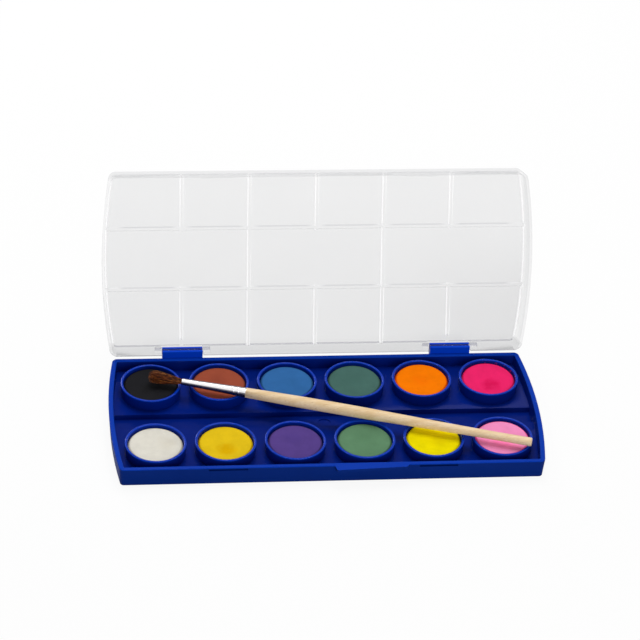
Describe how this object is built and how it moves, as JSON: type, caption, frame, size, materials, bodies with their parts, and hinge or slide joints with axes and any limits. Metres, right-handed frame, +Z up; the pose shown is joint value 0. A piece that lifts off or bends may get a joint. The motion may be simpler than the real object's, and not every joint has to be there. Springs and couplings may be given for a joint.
{
  "type": "watercolour paint set",
  "caption": "Flat moulded paint box with round pans of pressed watercolour in two rows, a clear hinged lid that serves as a mixing palette, and a round brush lying across the pans.",
  "frame": {"origin": "middle of the tray's underside, on the face it rests on", "axes": "+X along the tray, +Y from the thumb ledge to the hinge, +Z up; the lid stands open as in the picture"},
  "size_m": [0.1976, 0.1232, 0.09],
  "materials": {
    "tray_plastic": "moulded royal blue, satin on the outer walls",
    "pan_plastic": "moulded royal blue, glossy",
    "lid_plastic": "clear moulded polystyrene",
    "paint_black": "pressed paint, matt and chalky",
    "paint_brown": "pressed paint, matt and chalky",
    "paint_blue": "pressed paint, matt and chalky",
    "paint_dark_green": "pressed paint, matt and chalky",
    "paint_orange": "pressed paint, matt and chalky",
    "paint_red": "pressed paint, matt and chalky",
    "paint_white": "pressed paint, matt and chalky",
    "paint_yellow": "pressed paint, matt and chalky",
    "paint_violet": "pressed paint, matt and chalky",
    "paint_green": "pressed paint, matt and chalky",
    "paint_lemon": "pressed paint, matt and chalky",
    "paint_pink": "pressed paint, matt and chalky",
    "handle_wood": "pale wood, thin clear varnish",
    "ferrule_metal": "bright drawn tube",
    "brush_hair": "red-brown hair"
  },
  "bodies": {
    "base": {"tray": "tray_plastic", "pan_black": "pan_plastic", "pan_brown": "pan_plastic", "pan_blue": "pan_plastic", "pan_dark_green": "pan_plastic", "pan_orange": "pan_plastic", "pan_red": "pan_plastic", "pan_white": "pan_plastic", "pan_yellow": "pan_plastic", "pan_violet": "pan_plastic", "pan_green": "pan_plastic", "pan_lemon": "pan_plastic", "pan_pink": "pan_plastic", "tablet_black": "paint_black", "tablet_brown": "paint_brown", "tablet_blue": "paint_blue", "tablet_dark_green": "paint_dark_green", "tablet_orange": "paint_orange", "tablet_red": "paint_red", "tablet_white": "paint_white", "tablet_yellow": "paint_yellow", "tablet_violet": "paint_violet", "tablet_green": "paint_green", "tablet_lemon": "paint_lemon", "tablet_pink": "paint_pink"},
    "lid": {"lid": "lid_plastic"},
    "brush": {"brush_handle": "handle_wood", "brush_ferrule": "ferrule_metal", "brush_bristles": "brush_hair"}
  },
  "joints": [
    {"name": "lid_hinge", "type": "hinge", "parent": "base", "child": "lid", "pos_m": [0, 0.04165, 0.01157], "axis": [-1, 0, 0], "range_deg": [-111.5, 68.5]},
    {"name": "brush_lift", "type": "slide", "parent": "base", "child": "brush", "axis": [0, 0, 1], "range_m": [0, 0.06]}
  ]
}
